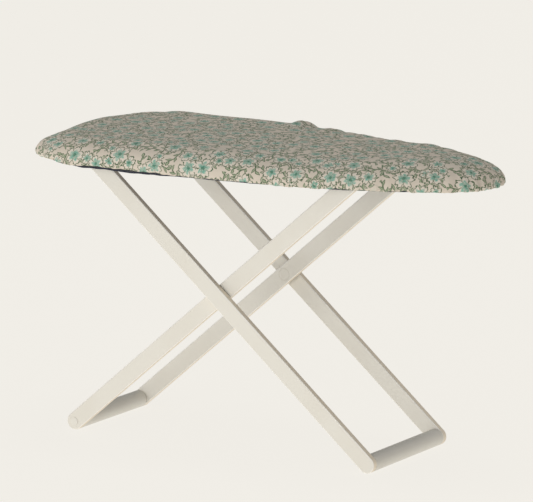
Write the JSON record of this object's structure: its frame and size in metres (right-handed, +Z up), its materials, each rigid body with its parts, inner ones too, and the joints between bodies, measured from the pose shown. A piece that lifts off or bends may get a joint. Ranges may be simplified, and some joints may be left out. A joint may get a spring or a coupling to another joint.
{
  "type": "ironing board",
  "caption": "Doll-size folding ironing board: padded cloth-covered board, rounded at the tail and pointed at the nose, on crossed flat-strip leg frames that fold flat below it.",
  "frame": {"origin": "on the floor, below the middle of the board's length and width", "axes": "+Z up, +X along the board toward its pointed nose, -Y the front side"},
  "size_m": [0.1814, 0.0884, 0.1142],
  "materials": {
    "cloth": "Printed plain-weave cotton: blossom twigs in olive line with teal flower centres on a pale ground",
    "wadding": "soft polyester wadding",
    "plywood": "thin plywood",
    "felt": "navy felt",
    "dark_metal": "black enamelled steel",
    "screw_steel": "zinc plated",
    "leg_paint": "cream enamel on steel, satin",
    "washer_plastic": "dark nylon"
  },
  "bodies": {
    "board": {"cover": "cloth", "pad": "wadding", "base_panel": "plywood", "felt_backing": "felt", "slide_strap": "dark_metal", "strap_screws": "screw_steel", "saddle_screws": "screw_steel", "hinge_saddle_front": "dark_metal", "hinge_saddle_back": "dark_metal"},
    "outer_legs": {"outer_leg_front": "leg_paint", "outer_leg_back": "leg_paint", "outer_foot_bar": "leg_paint", "hinge_rod": "leg_paint", "hinge_collar_front": "dark_metal", "hinge_collar_back": "dark_metal", "crossing_rivet_front": "leg_paint", "crossing_rivet_back": "leg_paint", "crossing_washer_front": "washer_plastic", "crossing_washer_back": "washer_plastic"},
    "inner_legs": {"inner_leg_front": "leg_paint", "inner_leg_back": "leg_paint", "inner_foot_bar": "leg_paint", "slide_rod": "leg_paint"}
  },
  "joints": [
    {"name": "fold", "type": "hinge", "parent": "board", "child": "outer_legs", "pos_m": [-0.06069, 0, 0.1037], "axis": [0, -1, 0], "range_deg": [0, 37.8]},
    {"name": "scissor", "type": "hinge", "parent": "outer_legs", "child": "inner_legs", "pos_m": [-0.0118, 0, 0.05879], "axis": [0, 1, 0], "range_deg": [0, 75.6]}
  ],
  "couplings": [
    {"joint": "scissor", "follows": "fold", "ratio": 2}
  ]
}
